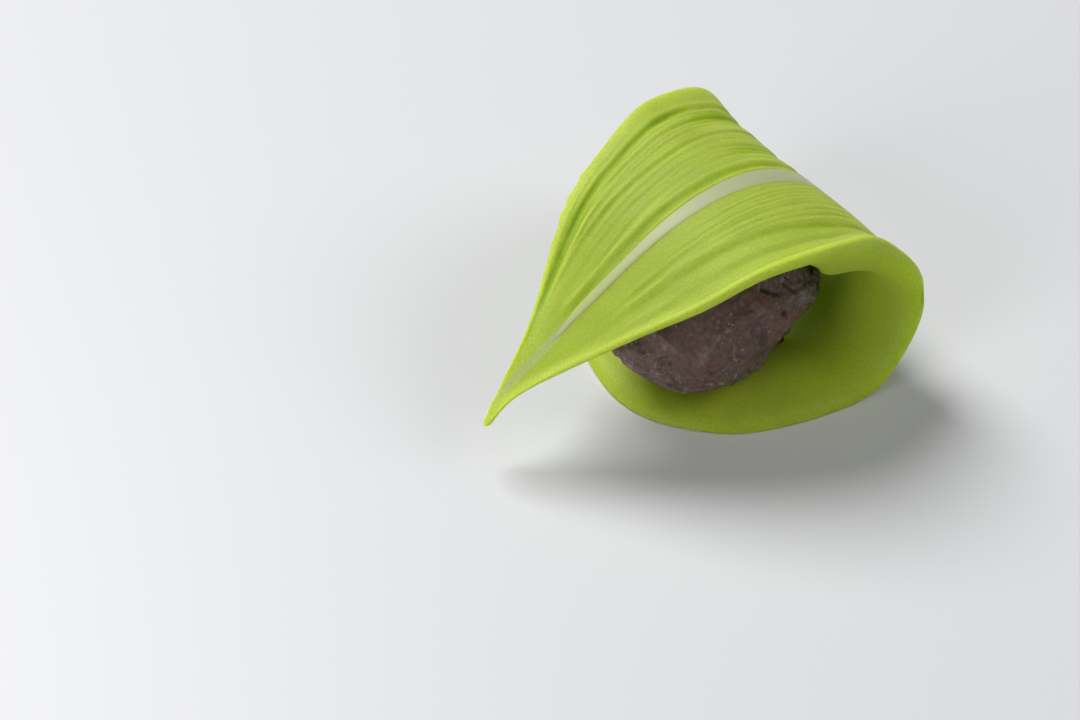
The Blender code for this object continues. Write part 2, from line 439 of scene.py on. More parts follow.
# %% One loop of the sheet
SHEET = 2.4 * MM
SLIMMING_START = 89.0 * MM
TIP_SHARE = 0.45  # of the sheet's thickness is left at the tip
TIP_ROUNDING = 0.9 * MM
WIDEST_COMBED = 0.5  # of the half width, for the rounding of the combed face
WIDEST_SMOOTH = 0.9  # and of the smooth one
FACE_POINTS = 270
BACK_POINTS = 56
EDGE_POINTS = 6
ROW_STEP = 0.56 * MM


def eased(rounding):
    """Places that come closer together towards a rounded edge."""
    return [rounding * (1 - math.cos(math.pi / 2 * k / EDGE_POINTS)) for k in range(EDGE_POINTS)]


def spread(width, first, last, count):
    """Evenly spaced places, with closer ones over the rounding at each end."""
    middle = [first + (width - first - last) * k / (count - 1) for k in range(count)]
    return eased(first) + middle + [width - place for place in reversed(eased(last))]


def bow(distance, y):
    """x on the flat sheet: rows near the round end bow out to follow it."""
    if distance >= ROUND_END:
        return distance
    turned = round_end_turn(distance)
    share = (1 - distance / ROUND_END - math.cos(turned)) / (1 - math.cos(turned))
    edge = math.cos(turned)
    arc = math.sqrt(max(1 - (y / BASE_RADIUS) ** 2, 0.0))
    return ROUND_END * (1 - edge - (arc - edge) * share)


def loop_points(distance):
    """(x, y, z, across, outer, beside, rim) round the sheet.

    across goes from -1 at the open margin to 1 at the far one, outer is 1 on the combed face, beside is 1 at
    the vein's edge, and rim is the distance from the edge.
    """
    tip = dome((LENGTH - distance) / TIP_ROUNDING)
    wide = {side: half_width(distance, side) * tip for side in (OPEN, FAR)}
    sheet = SHEET * (1 - (1 - TIP_SHARE) * smoothstep(SLIMMING_START, LENGTH, distance)) * tip
    nose, combed, smooth = {}, {}, {}
    for side in (OPEN, FAR):
        nose[side] = along(NOSES, side, distance) * sheet / SHEET
        combed[side] = min(along(COMBED_ROUNDINGS, side, distance), WIDEST_COMBED * wide[side])
        smooth[side] = min(along(SMOOTH_ROUNDINGS, side, distance), WIDEST_SMOOTH * wide[side])

    def add(y, outer):
        side = OPEN if y < VEIN_LINE else FAR
        offset = abs(y - VEIN_LINE)
        share = min(offset / wide[side], 1.0)
        x = bow(distance, y)
        if distance < ROUND_END:
            from_edge = BASE_RADIUS * (1 - math.hypot(1 - x / ROUND_END, y / BASE_RADIUS))
        else:
            from_edge = wide[side] - offset
        wave = WAVE_HEIGHT * math.sin(2 * math.pi * distance / WAVE_LENGTH + side) * relief(distance)
        lift = (along(MARGIN_LIFTS, side, distance) + wave) * share**3
        lift += flare(distance, side, from_edge)
        if outer:
            z = nose[side] * (1 - dome(from_edge / combed[side]))
        else:
            thick = sheet + swelling(distance, side, from_edge)
            z = nose[side] + (thick - nose[side]) * dome(from_edge / smooth[side])
        torn = nicks(distance) * smoothstep(TORN_FROM, 1.0, share) if side == FAR else 0.0
        beside = side * offset / along(VEIN_WIDTHS, side, distance)
        further = uneven(x, y)
        x = ROUND_END + (x - ROUND_END) * further
        points.append((x, y * further + torn, z - lift, side * share, outer, beside, from_edge))

    points = []
    low, width = VEIN_LINE - wide[OPEN], wide[OPEN] + wide[FAR]
    for place in spread(width, combed[OPEN], combed[FAR], FACE_POINTS):
        add(low + place, 1.0)
    for place in spread(width, smooth[OPEN], smooth[FAR], BACK_POINTS)[-2:0:-1]:
        add(low + place, 0.0)
    return points


# %% All rows of the sheet
SHARPEST = 0.01 * MM  # the first and last row are this far inside, where they still have a width


def row_places(start, end, first, last, spacing):
    """Distances of the rows: evenly spaced, and closer where the ends are rounded."""
    places = spread(end - start, first, last, round((end - start - first - last) / spacing))
    return [start + min(max(place, SHARPEST), end - start - SHARPEST) for place in places]


def loft(name, loops, labels):
    """A closed mesh through loops of (x, y, z, values for the labels), with its ends filled."""
    count = len(loops[0])
    points = np.array([point for loop in loops for point in loop], float)
    faces = [list(range(count))[::-1], [(len(loops) - 1) * count + i for i in range(count)]]
    for row in range(len(loops) - 1):
        here, there = row * count, (row + 1) * count
        for i in range(count):
            after = (i + 1) % count
            faces.append((here + i, here + after, there + after, there + i))
    mesh = bpy.data.meshes.new(name)
    mesh.from_pydata(points[:, :3], [], faces)
    for column, label in enumerate(("along", *labels), 2):
        values = points[:, 0 if label == "along" else column]
        mesh.attributes.new(label, "FLOAT", "POINT").data.foreach_set("value", values)
    return new_object(name, mesh)


def close_well(obj):
    """Splits the filled ends into triangles and turns every face outwards."""
    bm = bmesh.new()
    bm.from_mesh(obj.data)
    bmesh.ops.triangulate(bm, faces=[face for face in bm.faces if len(face.verts) > 4])
    bmesh.ops.recalc_face_normals(bm, faces=bm.faces)
    bm.to_mesh(obj.data)
    bm.free()


leaf_rows = row_places(0.0, LENGTH, along(SMOOTH_ROUNDINGS, FAR, 0.0), TIP_ROUNDING, ROW_STEP)
leaf_loops = [loop_points(distance) for distance in leaf_rows]
leaf = loft("leaf_dough", leaf_loops, ("across", "outer", "beside", "rim"))
close_well(leaf)
print(f"the flat leaf has {len(leaf_rows)} rows and {len(leaf.data.vertices)} points")

# %% [markdown]
# ## The comb
#
# The lines are pressed one after another with a small comb or knife, from the fold to the point. A stroke is
# a soft groove with a low lip of dough beside it. So one small tree makes one tine, which gives the depth of
# a groove at every point of the sheet, and the comb adds up a row of tines. Each stroke has its own path,
# because hand strokes fan out from the point. A little noise makes it waver and press unevenly.

# %% One tine of the comb
# Between these two places a stroke goes from its first share to its second
COMB_FROM = 60.0 * MM
COMB_TO = 110.0 * MM
FADE = 8.0 * MM
# How far a line wavers, as a share of the half width, and how lightly and how heavily it is pressed
WAVER = 0.03
WAVER_SIZE = 9 * MM
LIGHT_AND_HEAVY = (0.55, 1.45)
PRESSURE_SIZE = 6 * MM
# The lip beside a groove, as shares of the groove's width and depth
LIP_AT = 1.8
LIP_SHARPNESS = 1.5
LIP_HEIGHT = 0.22


def make_tine():
    names = ("Along", "Across", "Half Width", "From", "To", "Bow", "Depth", "Width", "Starts", "Ends")
    tree, given, result = new_tree("tine", {name: ("Float",) for name in names}, {"Depth": ("Float",)})
    unsteady = combine(tree, X=given["Along"], Y=given["From"])
    waver = calc(tree, "SUBTRACT", noise_of(tree, unsteady, WAVER_SIZE), 0.5)
    pressure = step(tree, noise_of(tree, unsteady, PRESSURE_SIZE), 0.25, 0.75, *LIGHT_AND_HEAVY)
    share = calc(tree, "DIVIDE", calc(tree, "SUBTRACT", given["Along"], COMB_FROM), COMB_TO - COMB_FROM)
    drift = calc(tree, "SUBTRACT", given["To"], given["From"])
    straight = calc(tree, "MULTIPLY_ADD", drift, share, given["From"])
    arch = product(tree, share, calc(tree, "SUBTRACT", 1.0, share), 4.0, given["Bow"])
    line = calc(tree, "MULTIPLY_ADD", waver, WAVER, calc(tree, "ADD", straight, arch))
    off = product(tree, calc(tree, "SUBTRACT", given["Across"], line), given["Half Width"])
    near = calc(tree, "ABSOLUTE", calc(tree, "DIVIDE", off, given["Width"]))
    groove = calc(tree, "EXPONENT", product(tree, near, near, -1.0))
    beyond = calc(tree, "SUBTRACT", near, LIP_AT)
    lip = calc(tree, "EXPONENT", product(tree, beyond, beyond, -LIP_SHARPNESS))
    shape = calc(tree, "MULTIPLY_ADD", lip, -LIP_HEIGHT, groove)
    opens = step(tree, given["Along"], given["Starts"], calc(tree, "ADD", given["Starts"], FADE))
    closes = step(tree, given["Along"], calc(tree, "SUBTRACT", given["Ends"], FADE), given["Ends"], 1.0, 0.0)
    plug(tree, product(tree, shape, pressure, opens, closes, given["Depth"]), result["Depth"])
    return tree


tine = make_tine()

# (share at the fold, share near the point, bow, depth, half width, start, end), the last four in mm
STROKES = (
    (0.660, 0.660, 0.00, 0.45, 1.60, 30.0, 74.0),
    (0.290, 0.290, 0.00, 0.30, 1.50, 30.0, 74.0),
    (0.110, 0.135, 0.00, 0.36, 0.75, 30.0, 112.0),
    (0.185, 0.205, 0.00, 0.07, 0.28, 30.0, 92.0),
    (0.250, 0.270, 0.00, 0.09, 0.30, 34.0, 106.0),
    (0.300, 0.350, 0.00, 0.06, 0.25, 34.0, 90.0),
    (0.340, 0.430, -0.02, 0.09, 0.35, 34.0, 110.0),
    (0.415, 0.500, -0.02, 0.06, 0.25, 32.0, 96.0),
    (0.500, 0.680, -0.08, 0.18, 0.42, 30.0, 114.0),
    (0.585, 0.740, -0.06, 0.09, 0.28, 34.0, 104.0),
    (0.625, 0.700, -0.03, 0.06, 0.22, 40.0, 92.0),
    (0.670, 0.800, -0.05, 0.16, 0.36, 30.0, 108.0),
    (0.720, 0.760, -0.01, 0.08, 0.25, 30.0, 100.0),
    (0.770, 0.800, -0.01, 0.40, 0.72, 30.0, 112.0),
    (0.780, 0.810, 0.00, 0.16, 0.42, 66.0, 120.0),
    (0.855, 0.860, 0.00, 0.13, 0.30, 80.0, 112.0),
    (-0.170, -0.180, 0.00, 0.07, 0.25, 30.0, 84.0),
    (-0.225, -0.225, 0.00, 0.09, 0.25, 30.0, 90.0),
    (-0.280, -0.270, 0.01, 0.07, 0.22, 30.0, 84.0),
    (-0.335, -0.310, 0.02, 0.10, 0.25, 30.0, 94.0),
    (-0.400, -0.350, 0.04, 0.08, 0.25, 30.0, 88.0),
    (-0.470, -0.450, 0.09, 0.12, 0.45, 30.0, 112.0),
    (-0.560, -0.470, 0.08, 0.08, 0.25, 30.0, 90.0),
    (-0.640, -0.550, 0.10, 0.10, 0.28, 30.0, 84.0),
    (-0.800, -0.620, 0.145, 0.21, 0.85, 30.0, 117.0),
    (-0.880, -0.860, 0.10, 0.13, 0.60, 30.0, 112.0),
    (-0.920, -0.900, 0.01, 0.12, 0.30, 34.0, 102.0),
)

# %% [markdown]
# No single stroke describes the rest: fine parallel scratches, strongest where the sheet was stretched over
# the fold, and soft dents from fingers. Both are noise, and for the scratches it is squeezed across the leaf
# and drawn out along it. The same tree also sinks the channel for the vein and raises a low border along the
# far margin.

# %% All strokes together
def add_strokes(tree, distance, across, half):
    """The depth of all strokes. Their columns are in the order of these names."""
    pressed = 0.0
    for *path, depth, wide, first, last in STROKES:
        values = {"Along": distance, "Across": across, "Half Width": half}
        values.update(zip(("From", "To", "Bow"), path))
        values.update({"Depth": depth * MM, "Width": wide * MM, "Starts": first * MM, "Ends": last * MM})
        groove = node(tree, "GeometryNodeGroup", values, node_tree=tine).outputs[0]
        pressed = calc(tree, "ADD", groove, pressed)
    return pressed


# %% The whole comb
# Distances along the leaf between which something comes or goes
COMB_BEGINS = (29.0 * MM, 38.0 * MM)
STROKES_EASE = (92.0 * MM, 124.0 * MM)
SCRATCHES_EASE = (62.0 * MM, 100.0 * MM)
EASED = 0.35  # of the depth is left after that
CHANNEL_OPENS = (31.0 * MM, 35.0 * MM)
CHANNEL_CLOSES = (86.0 * MM, 100.0 * MM)
# Shares of the half width of the vein, and of the half width of the far side
CHANNEL_SIDE = (0.70, 1.0)
BORDER_RISES = (0.82, 0.90)
BORDER_FALLS = (0.92, 1.0)
SCRATCH_LENGTH = 22.0 * MM
SHADE_DEPTH = 0.3 * MM  # a groove this deep counts as 1 for the material
TINY = 1e-6  # keeps a division from being by zero


def make_comb():
    inputs = {
        "Geometry": ("Geometry",),
        "Pressure": ("Float", 0.7),
        "Scratch Depth": ("Float", 0.08 * MM),
        "Scratch Spacing": ("Float", 0.95 * MM),
        "Dent Depth": ("Float", 0.12 * MM),
        "Dent Size": ("Float", 5.0 * MM),
        "Border Bulge": ("Float", 0.12 * MM),
        "Channel Depth": ("Float", 0.45 * MM),
    }
    tree, given, result = new_tree("comb", inputs, {"Geometry": ("Geometry",)})

    def read(label):
        kind = "GeometryNodeInputNamedAttribute"
        return node(tree, kind, {"Name": label}, data_type="FLOAT").outputs["Attribute"]

    here = position(tree)
    distance, across, outer, beside = (read(label) for label in ("along", "across", "outer", "beside"))
    offset = calc(tree, "SUBTRACT", separate(tree, here)["Y"], VEIN_LINE)
    half = calc(tree, "DIVIDE", offset, calc(tree, "ADD", across, TINY))

    lighter = step(tree, distance, *STROKES_EASE, 1.0, EASED)
    pressed = product(tree, add_strokes(tree, distance, across, half), given["Pressure"], lighter)

    sideways = calc(tree, "DIVIDE", offset, given["Scratch Spacing"])
    streaks = combine(tree, X=sideways, Y=calc(tree, "DIVIDE", distance, SCRATCH_LENGTH))
    streaks = calc(tree, "SUBTRACT", 0.5, noise_of(tree, streaks, 1.0, 3.0))
    stretched = step(tree, distance, *SCRATCHES_EASE, 1.0, EASED)
    scratches = product(tree, streaks, given["Scratch Depth"], stretched)

    border = product(tree, step(tree, across, *BORDER_RISES), step(tree, across, *BORDER_FALLS, 1.0, 0.0))
    bulge = product(tree, border, given["Border Bulge"])

    in_channel = step(tree, calc(tree, "ABSOLUTE", beside), *CHANNEL_SIDE, 1.0, 0.0)
    opens = step(tree, distance, *CHANNEL_OPENS)
    closes = step(tree, distance, *CHANNEL_CLOSES, 1.0, 0.0)
    channel = product(tree, in_channel, opens, closes, given["Channel Depth"])

    lines = calc(tree, "ADD", pressed, scratches)
    carved = calc(tree, "ADD", lines, calc(tree, "SUBTRACT", channel, bulge))
    free = step(tree, distance, *COMB_BEGINS)
    carved = product(tree, carved, outer, free)

    dent = given["Dent Size"]
    dents = noise_of(tree, vector(tree, "DIVIDE", here, combine(tree, X=dent, Y=dent, Z=dent)), 1.0)
    dents = product(tree, calc(tree, "SUBTRACT", dents, 0.5), given["Dent Depth"])
    dents = product(tree, dents, calc(tree, "MAXIMUM", free, calc(tree, "SUBTRACT", 1.0, outer)))

    shade = product(tree, lines, outer, free, 1 / SHADE_DEPTH)
    stored = store(tree, given["Geometry"], "groove", shade)
    lift = combine(tree, Z=calc(tree, "ADD", carved, dents))
    plug(tree, move(tree, stored, Offset=lift), result["Geometry"])
    return tree


run_tree(leaf, make_comb(), {})

# %% [markdown]
# ## The fold
#
# Folding is one Set Position node. The x of a point on the flat sheet says how far along the spine it goes.
# Sample Curve gives the place and the direction there. Sideways stays sideways, and the sheet's height is
# measured inwards, square to the spine.

# %% The tree that folds a flat sheet along the spine
def finish_tree(tree, geometry, material, result):
    """The end of each tree: smooth shading, real geometry and a material."""
    smooth = node(tree, "GeometryNodeSetShadeSmooth", {"Geometry": geometry}).outputs[0]
    real = node(tree, "GeometryNodeRealizeInstances", {"Geometry": smooth}).outputs[0]
    dressed = node(tree, "GeometryNodeSetMaterial", {"Geometry": real, "Material": material}).outputs[0]
    plug(tree, dressed, result["Geometry"])


def make_fold():
    inputs = {
        "Geometry": ("Geometry",),
        "Spine": ("Object",),
        "Lead": ("Float", LEAD),
        "Dough": ("Material",),
    }
    tree, given, result = new_tree("fold", inputs, {"Geometry": ("Geometry",)})
    place = separate(tree, position(tree))
    curve = node(tree, "GeometryNodeObjectInfo", {"Object": given["Spine"]}).outputs["Geometry"]
    length = calc(tree, "ADD", place["X"], given["Lead"])
    spot = node(tree, "GeometryNodeSampleCurve", {"Curves": curve, "Length": length}, mode="LENGTH").outputs
    inward = vector(tree, "CROSS_PRODUCT", spot["Tangent"], (0.0, 1.0, 0.0))
    folded = vector(tree, "ADD", spot["Position"], vector(tree, "SCALE", inward, place["Z"]))
    folded = vector(tree, "ADD", folded, combine(tree, Y=place["Y"]))
    finish_tree(tree, move(tree, given["Geometry"], Position=folded), given["Dough"], result)
    return tree


fold = make_fold()

# %% [markdown]
# ## Green dough
#
# Bean dough is matte, very finely granular and a little translucent, so light that enters near a thin edge
# comes out yellow green; here that glow is painted light, a pale margin and a glowing band along the cut
# edge.
# Painted shade gives the grooves a deeper green, a painted highlight makes the ridges between them paler, and
# painted light makes the smooth face in the fold paler. So the material mixes its greens by the stored depth
# of the grooves and by how near the margin is.

# %% Helpers for materials
def new_material(name):
    material = bpy.data.materials.new(name)
    material.use_nodes = True
    tree = material.node_tree
    return material, tree, tree.nodes["Principled BSDF"]


def attribute(tree, label):
    return node(tree, "ShaderNodeAttribute", attribute_name=label).outputs["Fac"]


def on_object(tree):
    return node(tree, "ShaderNodeTexCoord").outputs["Object"]


def blend(tree, share, first, second):
    mix = node(tree, "ShaderNodeMix", {0: share}, data_type="RGBA")
    colours = [socket for socket in mix.inputs if socket.type == "RGBA"]
    plug(tree, first, colours[0])
    plug(tree, second, colours[1])
    return next(socket for socket in mix.outputs if socket.type == "RGBA")


def bump(tree, height, distance, strength):
    values = {"Height": height, "Distance": distance, "Strength": strength}
    return node(tree, "ShaderNodeBump", values).outputs[0]


def make_translucent(shader, weight, reach, radius):
    """Lets light travel inside the dough: reach is the scale, and radius how far each colour gets."""
    shader.inputs["Subsurface Weight"].default_value = weight
    shader.inputs["Subsurface Scale"].default_value = reach
    shader.inputs["Subsurface Radius"].default_value = radius


# %% The leaf's material
LEAF_GREEN = (0.355, 0.468, 0.015, 1.0)
FOLD_GREEN = (0.39, 0.495, 0.060, 1.0)
# Painted highlight: the paler green on the raised ridges
RIDGE_HIGHLIGHT_GREEN = (0.44, 0.555, 0.055, 1.0)
# Painted shade: the deeper green in the grooves
GROOVE_SHADE_GREEN = (0.30, 0.44, 0.004, 1.0)
# Painted light: the pale margin of the combed face, for light through the thin edge and the lip's highlight
PAINTED_MARGIN_LIGHT = (0.465, 0.585, 0.060, 1.0)
# Painted light: the glow of light through the dough along the cut edge
PAINTED_CUT_GLOW = (0.45, 0.60, 0.020, 1.0)
# Painted light: the smooth face's paler, greyer green, for light reflected into the fold
SMOOTH_FACE_LIT_GREEN = (0.41, 0.52, 0.036, 1.0)
SMEARED_WHITE = (0.415, 0.47, 0.185, 1.0)
# Distances along the leaf between which a colour comes, goes or drifts off the vein's line
BLADE_COLOUR = (72 * MM, 98 * MM)
CUT_SHOWS = (26 * MM, 46 * MM)
SMEAR_BEGINS = (96 * MM, 112 * MM)
SMEAR_ENDS = (119 * MM, 125 * MM)
SMEAR_DRIFTS = (112 * MM, 124 * MM)
# In from the edge: where the margin's painted light begins to fade, and where it ends on the open and the far
# side
PALE_RIM = 0.8 * MM
PALE_BANDS = (2.6 * MM, 5.5 * MM)
# In from the edge: where the painted glow on the smooth face is full, and where it ends
CUT_RIM = (0.3 * MM, 2.6 * MM)
CLOUD_SIZE = 8 * MM
SPECKLE_SIZE = 0.35 * MM
GRAIN_SIZE = 0.30 * MM
GRAIN_HEIGHT = 0.04 * MM


def make_green():
    material, tree, shader = new_material("green_dough")
    here = on_object(tree)
    groove, across, beside = (attribute(tree, label) for label in ("groove", "across", "beside"))
    distance, rim, outer = (attribute(tree, label) for label in ("along", "rim", "outer"))
    colour = blend(tree, step(tree, distance, *BLADE_COLOUR), FOLD_GREEN, LEAF_GREEN)
    # Painted highlight: where the comb raised the dough, it turns paler
    colour = blend(tree, step(tree, groove, 0.0, -0.25), colour, RIDGE_HIGHLIGHT_GREEN)
    # Painted light: the smooth face, mostly in the fold's shade, is paler and greyer than the combed face
    colour = blend(tree, outer, SMOOTH_FACE_LIT_GREEN, colour)

    # Painted light: the combed face is paler near its margin, where light comes through the thin edge and
    # catches the lip
    band = step(tree, across, -0.1, 0.1, *PALE_BANDS)
    margin = product(tree, step(tree, rim, PALE_RIM, band, 1.0, 0.0), outer)
    colour = blend(tree, margin, colour, PAINTED_MARGIN_LIGHT)
    # Painted light: a saturated band on the smooth face along the cut edge, where light shines through the
    # dough
    cut = product(tree, step(tree, rim, *CUT_RIM, 1.0, 0.0), calc(tree, "SUBTRACT", 1.0, outer))
    cut = product(tree, cut, step(tree, distance, *CUT_SHOWS, 0.3, 1.0))
    colour = blend(tree, cut, colour, PAINTED_CUT_GLOW)
    # Painted shade: the grooves turn a deeper green the deeper they are
    colour = blend(tree, step(tree, groove, 0.05, 0.8), colour, GROOVE_SHADE_GREEN)

    near_tip = step(tree, distance, *SMEAR_BEGINS)
    near_tip = product(tree, near_tip, step(tree, distance, *SMEAR_ENDS, 1.0, 0.0))
    drifted = calc(tree, "SUBTRACT", beside, step(tree, distance, *SMEAR_DRIFTS))
    smear = product(tree, near_tip, step(tree, calc(tree, "ABSOLUTE", drifted), 0.4, 1.5, 0.8, 0.0))
    colour = blend(tree, smear, colour, SMEARED_WHITE)

    cloudy = varied(tree, noise_of(tree, here, CLOUD_SIZE, 3.0), -0.04, 0.04)
    speckled = varied(tree, noise_of(tree, here, SPECKLE_SIZE), -0.07, 0.07)
    light = calc(tree, "ADD", calc(tree, "ADD", cloudy, speckled), 1.0)
    plug(tree, vector(tree, "SCALE", colour, light), shader.inputs["Base Color"])
    shader.inputs["Roughness"].default_value = 0.6
    shader.inputs["Specular IOR Level"].default_value = 0.35
    make_translucent(shader, weight=1.0, reach=2.2 * MM, radius=(1.0, 0.95, 0.15))
    grain = noise_of(tree, here, GRAIN_SIZE, 3.0, 0.6)
    plug(tree, bump(tree, grain, GRAIN_HEIGHT, 0.8), shader.inputs["Normal"])
    return material


green = make_green()
run_tree(leaf, fold, {"Spine": spine, "Dough": green})

# %% [markdown]
# ## The white vein
#
# The vein is a thin roll of white dough, laid in a channel and pressed down until it is flush. It is widest
# on the fold. Nearer the point there is no channel, only a low arch that thins to nothing where white and
# green smear into each other. Like the leaf, it is made as a flat strip and folded by the same tree.

# %% The vein's strip
VEIN_START = 33.3 * MM
VEIN_END = 117.0 * MM
VEIN_OPENING = 2.0 * MM
VEIN_CLOSING = 16.0 * MM
VEIN_PROUD = 0.05 * MM  # how far its middle stands out of the leaf
VEIN_EDGE = 0.11 * MM  # how much lower its edges are
VEIN_ARCH = 0.09 * MM  # more of both, where it arches
VEIN_ARCHES = (86.0 * MM, 98.0 * MM)
VEIN_SINKS = (104.0 * MM, 115.0 * MM)
VEIN_DEEP = 0.70 * MM
VEIN_THINNEST = 0.05 * MM
VEIN_POINTS = 24
VEIN_ROW_STEP = 0.6 * MM


def vein_loop(distance):
    """(x, y, z, across) round the strip. Its outer face lies down, like the leaf's."""
    shown = dome((distance - VEIN_START) / VEIN_OPENING) * dome((VEIN_END - distance) / VEIN_CLOSING)
    arched = smoothstep(*VEIN_ARCHES, distance)
    edge = VEIN_EDGE + VEIN_ARCH * arched
    proud = (VEIN_PROUD + VEIN_ARCH * arched) * (1 - smoothstep(*VEIN_SINKS, distance))
    top = edge - (edge + proud) * shown
    bottom = max(VEIN_DEEP * shown, top + VEIN_THINNEST)
    points = []
    for outer in (True, False):
        for i in range(VEIN_POINTS):
            share = (2 * i / VEIN_POINTS - 1) * (1 if outer else -1)
            y = VEIN_LINE + share * shown * along(VEIN_WIDTHS, OPEN if share < 0 else FAR, distance)
            z = top + edge * shown * abs(share) ** 3 if outer else bottom
            points.append((distance, y, z, share))
    return points


vein_rows = row_places(VEIN_START, VEIN_END, VEIN_OPENING, VEIN_OPENING, VEIN_ROW_STEP)
vein = loft("white_vein", [vein_loop(distance) for distance in vein_rows], ("across",))
close_well(vein)

# %% The vein's material
VEIN_WHITE = (0.45, 0.485, 0.265, 1.0)
VEIN_GREY = (0.455, 0.485, 0.285, 1.0)
VEIN_SIDES = (0.43, 0.53, 0.075, 1.0)
VEIN_SMEARS = (76 * MM, 104 * MM)
SIDES_CLOSE_IN = (80 * MM, 112 * MM)
SMUDGE_SIZE = 1.5 * MM


def make_white():
    material, tree, shader = new_material("white_dough")
    here = on_object(tree)
    across, distance = attribute(tree, "across"), attribute(tree, "along")
    colour = blend(tree, step(tree, across, -0.7, 0.3), VEIN_GREY, VEIN_WHITE)
    colour = blend(tree, step(tree, distance, *VEIN_SMEARS), colour, SMEARED_WHITE)
    clean = step(tree, distance, *SIDES_CLOSE_IN, 0.65, 0.0)
    smudged = step(tree, noise_of(tree, here, SMUDGE_SIZE), 0.3, 0.6, 0.6, 1.0)
    sides = product(tree, step(tree, calc(tree, "ABSOLUTE", across), clean, 1.05), smudged)
    colour = blend(tree, sides, colour, VEIN_SIDES)
    plug(tree, colour, shader.inputs["Base Color"])
    shader.inputs["Roughness"].default_value = 0.5
    make_translucent(shader, weight=0.6, reach=1.4 * MM, radius=(1.0, 1.0, 0.5))
    grain = noise_of(tree, here, SPECKLE_SIZE, 3.0)
    plug(tree, bump(tree, grain, GRAIN_HEIGHT, 0.6), shader.inputs["Normal"])
    return material


white = make_white()
run_tree(vein, fold, {"Spine": spine, "Dough": white})
bpy.data.objects.remove(spine)

# %% [markdown]
# ## The lump of bean paste
#
# The paste is cooked bean, mashed and squeezed by hand. Its large form is an egg with shallow crags, the same
# as in the CAD. On top of that come the marks of breaking and pressing: gashes, ridges and a knob at one end.
# Each is a groove along a straight line between two points, so one tree makes them all, and a negative depth
# turns a groove into a ridge. Voronoi cells then add cracks, and noise adds crumbs.

# %% The egg
LUMP_HALF_SIZE = Vector((16.5, 11.7, 12.4)) * MM
LUMP_AT = Vector((-7.7, -6.3)) * MM
LUMP_TURN = math.radians(-15)
LUMP_BED = 1.0 * MM  # how much of the egg is pressed flat
LUMP_NARROWING = 0.5  # towards the fold
LUMP_LOWERING = 0.12  # away from the fold
CRAG_DEPTH = 1.1 * MM
CRAG_SIZE = 8.0 * MM
CRAG_SEED = Vector((3.7, 1.9, 8.2))
EGG_SUBDIVISIONS = 7
FLOOR_OF_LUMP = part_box("bean_paste")[0].z


def lump_point(out):
    """The egg's surface in this direction from its middle."""
    crag = 0.5 - 2.0 * abs(noise.noise(out * LUMP_HALF_SIZE.x / CRAG_SIZE + CRAG_SEED))
    x, y, z = (out[i] * (LUMP_HALF_SIZE[i] + CRAG_DEPTH * crag) for i in range(3))
    return Vector((x, y * (1 - LUMP_NARROWING * out.x), z * (1 + LUMP_LOWERING * out.x)))


def make_egg(name):
    bm = bmesh.new()
    bmesh.ops.create_icosphere(bm, subdivisions=EGG_SUBDIVISIONS, radius=1.0)
    middle = Vector((LUMP_AT.x, LUMP_AT.y, FLOOR_OF_LUMP + LUMP_HALF_SIZE.z - LUMP_BED))
    turn = Matrix.Rotation(LUMP_TURN, 3, "Z")
    for vert in bm.verts:
        vert.co = middle + turn @ lump_point(vert.co.normalized())
    mesh = bpy.data.meshes.new(name)
    bm.to_mesh(mesh)
    bm.free()
    return new_object(name, mesh)


lump = make_egg("bean_lump")

# %% One mark on the lump
# (from, to, radius, depth), all in mm
MARKS = (
    ((8.0, -8.5, 20.0), (6.6, -12.0, 18.4), 2.2, 2.5),
    ((2.8, -13.6, 10.6), (-1.0, -14.4, 6.6), 3.2, 1.1),
    ((4.4, -11.4, 7.4), (1.6, -12.4, 5.0), 2.6, 1.8),
    ((-13.6, -15.5, 20.7), (-8.8, -16.4, 15.8), 2.2, 0.5),
    ((-24.5, -8.0, 13.6), (-24.2, -8.8, 12.4), 2.5, -0.9),
    ((-24.6, -3.4, 13.9), (-24.6, -5.0, 13.2), 1.39, -1.2),
    ((-23.8, -11.0, 15.8), (-23.0, -11.8, 15.0), 1.6, 0.4),
    ((-6.3, -14.4, 21.2), (-3.7, -15.2, 19.4), 0.28, 0.45),
    ((-4.6, -14.8, 20.6), (-2.4, -15.2, 19.0), 0.20, 0.30),
    ((-2.0, -14.4, 20.1), (-0.3, -15.2, 18.3), 0.28, 0.45),
    ((-1.5, -14.0, 21.0), (-0.6, -14.6, 19.6), 0.22, 0.30),
    ((0.6, -13.9, 20.4), (1.0, -14.4, 19.2), 0.20, 0.30),
    ((2.4, -13.8, 19.2), (2.6, -14.2, 18.2), 0.22, 0.30),
    ((0.2, -15.0, 18.6), (3.4, -13.9, 17.6), 0.30, 0.35),
    ((1.6, -14.8, 16.8), (3.6, -14.0, 14.8), 1.39, -0.85),
    ((-4.8, -16.0, 18.9), (-7.6, -16.6, 14.8), 0.45, -0.35),
    ((-2.6, -15.6, 15.8), (-2.0, -15.6, 14.9), 0.50, 0.50),
    ((-6.8, -16.7, 14.2), (-6.8, -16.2, 10.0), 0.90, 0.35),
    ((-14.4, -17.7, 14.4), (-13.2, -17.8, 14.0), 0.22, 0.35),
    ((-12.8, -17.8, 14.4), (-11.7, -17.7, 13.4), 0.22, 0.35),
    ((-13.6, -17.8, 13.2), (-12.4, -17.8, 13.4), 0.20, 0.30),
    ((-9.0, -16.5, 8.8), (-7.0, -16.0, 8.3), 0.35, -0.35),
    ((-17.8, -17.4, 13.8), (-17.0, -17.5, 12.8), 0.28, 0.35),
    ((-24.2, -9.2, 10.4), (-20.0, -13.6, 8.8), 0.35, 0.35),
    ((-23.6, -9.4, 9.3), (-20.0, -13.2, 7.8), 0.60, -0.35),
)
BROAD_MARK = 1.4  # mm of radius: a broader mark is a dent of the form, and gets no painted shade or highlight
# A mark's edge is ragged: how many times its radius it reaches, and how many frays come to one radius
RAGGED = (0.65, 1.6)
FRAYS = 0.7


